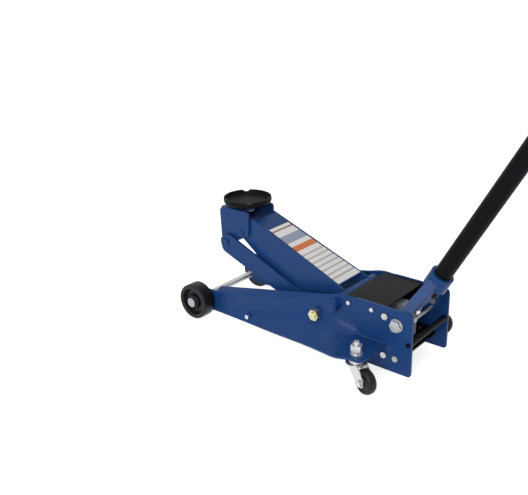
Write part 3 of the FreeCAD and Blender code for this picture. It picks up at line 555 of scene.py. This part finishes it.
def saddle_cup():
    """Cast cup: a turned section whose rim height dips by a smooth step at four places."""
    low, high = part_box("saddle")
    centre = centre_of("saddle") * np.array([1, 1, 0])
    foot, top = low.z / MM, high.z / MM
    base = top - SADDLE_H
    section = [(POLE, base), (44, base), (57, base + 5), (SADDLE_R, base + 9), (SADDLE_R, top), (54, top),
               (52, base + 9), (POLE, base + 9)]
    verts, faces = turned(rounded_line(section, [4, 4, 4, 2, 2, 4]), centre, UP, 192)
    angle = np.arctan2(verts[:, 1] - centre[1], verts[:, 0] - centre[0])
    along_rim = 57 * np.abs(angle % (TAU / 4) - TAU / 8)
    notch = 1 / (1 + np.exp((along_rim - NOTCH_HALF) * 0.9))
    lift = np.clip((verts[:, 2] - (top - 7)) / 7, 0, 1)
    verts[:, 2] -= NOTCH_DEPTH * notch * lift
    post = [(POLE, foot), (POST_R - 1, foot), (POST_R, foot + 1), (POST_R, base + 1), (POLE, base + 1)]
    return [(verts, faces), turned(post, centre, UP, 48)]


new_piece("saddle_casting", saddle_cup(), CAST, "saddle", ["saddle"])


HANDLE_TILT = math.radians(61.1)
GRIP_ENDS = (950.0, 1085.0)                      # along the handle from its pivot
GRIP_R = 20.0
TUBE_R = 17.0
RIDGE_PITCH = 7.0


def handle_grip():
    """Rubber sleeve along the handle: radius swells by a small cosine ridge every 7 mm, with a domed end."""
    along = np.array([-math.cos(HANDLE_TILT), 0, math.sin(HANDLE_TILT)])
    start, end = GRIP_ENDS
    z = np.linspace(start + 6, end - 8, 150)
    ridge = 19.3 + 0.6 * np.cos(TAU * (z - start) / RIDGE_PITCH)
    mouth = [(TUBE_R, start), (19.2, start), (GRIP_R, start + 2), (GRIP_R, start + 5)]
    dome = [(GRIP_R, end - 6), (GRIP_R, end - 3), (18.5, end - 1), (15, end), (POLE, end)]
    inside = [(POLE, end - 4.5), (TUBE_R, end - 4.6), (TUBE_R, start)]
    section = np.concatenate([mouth, np.column_stack([ridge, z]), dome, inside])
    return [turned(section, centre_of("release_joint"), along, 64)]


new_piece("handle_grip_sleeve", handle_grip(), RUBBER, "handle", ["handle_grip"])


# ---------------------------------------------------------------- stage, lamps and camera

def pale_stage():
    """White floor that shows as plain white to the camera and still takes a soft shadow."""
    size, height = 60.0, CAD_BOX[0][2] - 0.0005
    verts = [(-size, -size, height), (size, -size, height), (size, size, height), (-size, size, height)]
    mesh = bpy.data.meshes.new("floor")
    mesh.from_pydata(verts, [], [(0, 1, 2, 3)])
    floor = bpy.data.objects.new("floor", mesh)
    bpy.context.collection.objects.link(floor)
    material, tree, shader = finish_of("pale_paper_floor", Roughness=0.9)
    shader.inputs["Base Color"].default_value = linear("#f4f4f4")
    rays = add(tree, "ShaderNodeLightPath").outputs
    seen = add(tree, "ShaderNodeMath", {"operation": "MAXIMUM"})
    tree.links.new(rays["Is Camera Ray"], seen.inputs[0])
    tree.links.new(rays["Is Glossy Ray"], seen.inputs[1])
    glow = add(tree, "ShaderNodeEmission", {"Color": (1, 1, 1, 1), "Strength": 0.75})
    both = add(tree, "ShaderNodeAddShader")
    tree.links.new(shader.outputs[0], both.inputs[0])
    tree.links.new(glow.outputs[0], both.inputs[1])
    mix = add(tree, "ShaderNodeMixShader", links={"Fac": seen.outputs[0]})
    tree.links.new(shader.outputs[0], mix.inputs[1])
    tree.links.new(both.outputs[0], mix.inputs[2])
    tree.links.new(mix.outputs[0], tree.nodes["Material Output"].inputs["Surface"])
    mesh.materials.append(material)


def lamp(name, place, target, size, power):
    """Square soft lamp aimed at a point."""
    data = bpy.data.lights.new(name, "AREA")
    data.size = size
    data.energy = power
    light = bpy.data.objects.new(name, data)
    light.location = place
    light.rotation_euler = (Vector(target) - Vector(place)).to_track_quat("-Z", "Y").to_euler()
    bpy.context.collection.objects.link(light)


def studio():
    """Even white room, one large key from the left side and a weaker one from above."""
    world = bpy.data.worlds.new("white_room")
    bpy.context.scene.world = world
    world.use_nodes = True
    tree = world.node_tree
    back = tree.nodes["Background"]
    back.inputs["Color"].default_value = (1, 1, 1, 1)
    rays = add(tree, "ShaderNodeLightPath").outputs
    seen = add(tree, "ShaderNodeMath", {"operation": "MAXIMUM"})
    tree.links.new(rays["Is Camera Ray"], seen.inputs[0])
    tree.links.new(rays["Is Glossy Ray"], seen.inputs[1])
    through = add(tree, "ShaderNodeMath", {"operation": "MAXIMUM"}, {0: seen.outputs[0]})
    tree.links.new(rays["Is Transmission Ray"], through.inputs[1])
    tree.links.new(between(tree, through.outputs[0], 0.40, 1.0), back.inputs["Strength"])
    lamp("key", (-0.6, 2.8, 1.5), (0.2, 0, 0.1), 1.6, 52)
    lamp("top", (0.4, 0.2, 2.6), (0.1, 0, 0), 1.8, 10)


def camera():
    """The view from behind the left rear corner, a little above the jack."""
    place = Vector((-0.7337, 1.3096, 0.8601))
    yaw, pitch, roll = math.radians(38.81), math.radians(19.69), math.radians(-0.73)
    forward = Vector((math.sin(yaw) * math.cos(pitch), -math.cos(yaw) * math.cos(pitch), -math.sin(pitch)))
    right = forward.cross(Vector((0, 0, 1))).normalized()
    up = right.cross(forward)
    turned_right = right * math.cos(roll) + up * math.sin(roll)
    turned_up = up * math.cos(roll) - right * math.sin(roll)
    data = bpy.data.cameras.new("camera")
    data.sensor_width = 36
    data.lens = 50.62
    data.shift_x = -0.0499
    data.shift_y = -0.0445
    data.clip_start = 0.01
    view = bpy.data.objects.new("camera", data)
    axes = Matrix((turned_right, turned_up, -forward)).transposed()
    view.matrix_world = Matrix.Translation(place) @ axes.to_4x4()
    bpy.context.collection.objects.link(view)
    bpy.context.scene.camera = view


pale_stage()
studio()
camera()
bpy.context.scene.view_settings.view_transform = "Standard"
